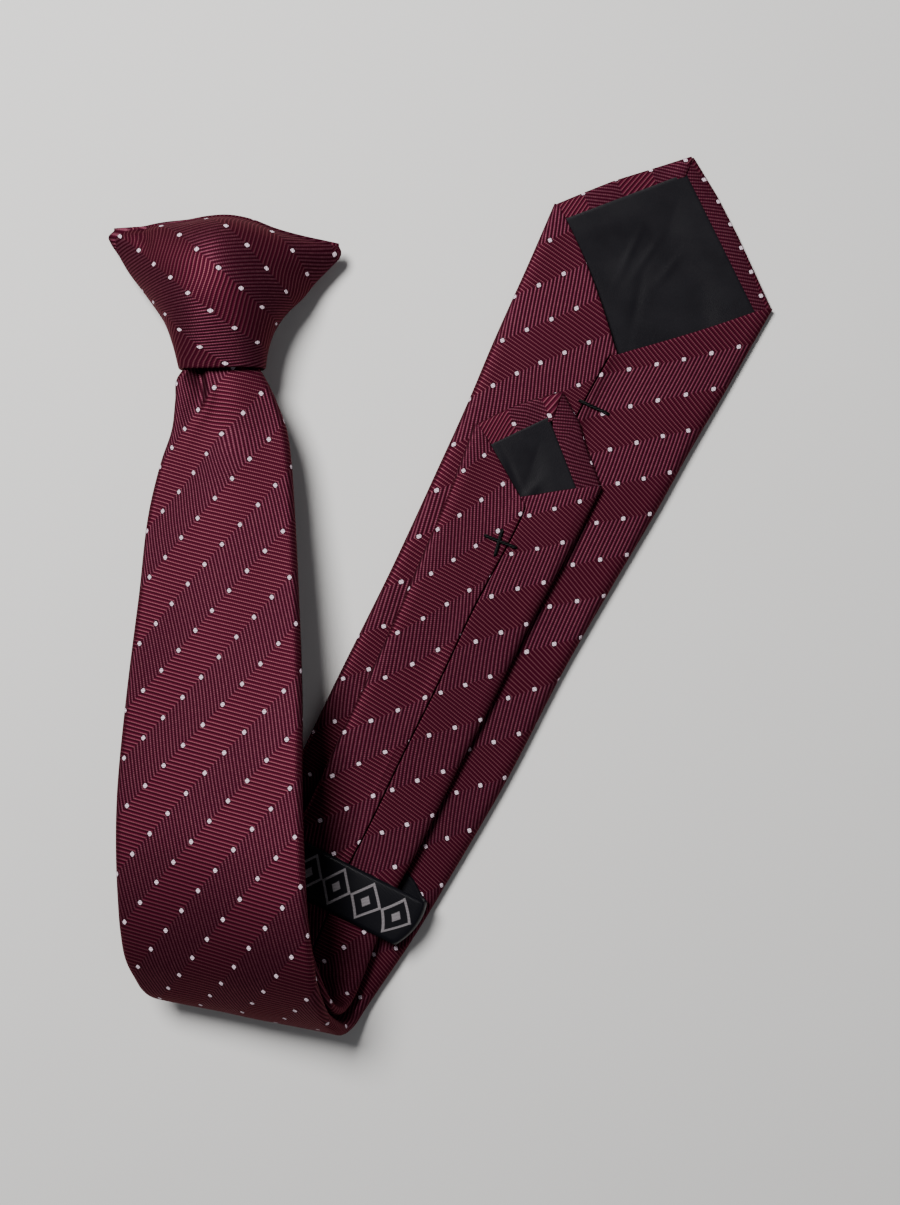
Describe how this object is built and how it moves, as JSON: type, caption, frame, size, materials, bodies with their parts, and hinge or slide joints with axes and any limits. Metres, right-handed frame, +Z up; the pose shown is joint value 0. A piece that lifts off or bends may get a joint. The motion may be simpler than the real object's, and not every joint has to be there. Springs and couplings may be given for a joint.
{
  "type": "clip-on tie",
  "caption": "Pre-tied clip-on necktie of bias-cut cloth, folded once and laid flat, with a shaped knot, tail through a keeper loop and a sprung clip.",
  "frame": {"origin": "middle of the laid tie's outline, on the surface that it lies on", "axes": "+Y along the laid tie towards its knot and tips, the fold at -Y; +X from the knot side to the open side; +Z up from the surface"},
  "size_m": [0.2118, 0.2796, 0.0425],
  "materials": {
    "tie_cloth": "wine red herringbone weave with pale pin dots, soft satin sheen",
    "lining": "smooth black lining cloth",
    "ribbon": "black satin ribbon",
    "clip_steel": "plain bright steel"
  },
  "bodies": {
    "tie": {"knot": "tie_cloth", "blade_front_stretch": "tie_cloth", "blade_back_stretch": "tie_cloth", "tail_front_stretch": "tie_cloth", "tail_back_stretch": "tie_cloth", "blade_tipping": "lining", "tail_tipping": "lining", "keeper_loop": "ribbon", "clip_plate": "clip_steel", "clip_pin": "clip_steel"},
    "jaw": {"clip_jaw": "clip_steel"}
  },
  "joints": [
    {"name": "clip_hinge", "type": "hinge", "parent": "tie", "child": "jaw", "pos_m": [-0.0691, 0.10333, 0.0036], "axis": [1, 0, 0], "range_deg": [0, 25], "stiffness_Nm_per_rad": 0.02, "springref_deg": -17.19}
  ]
}
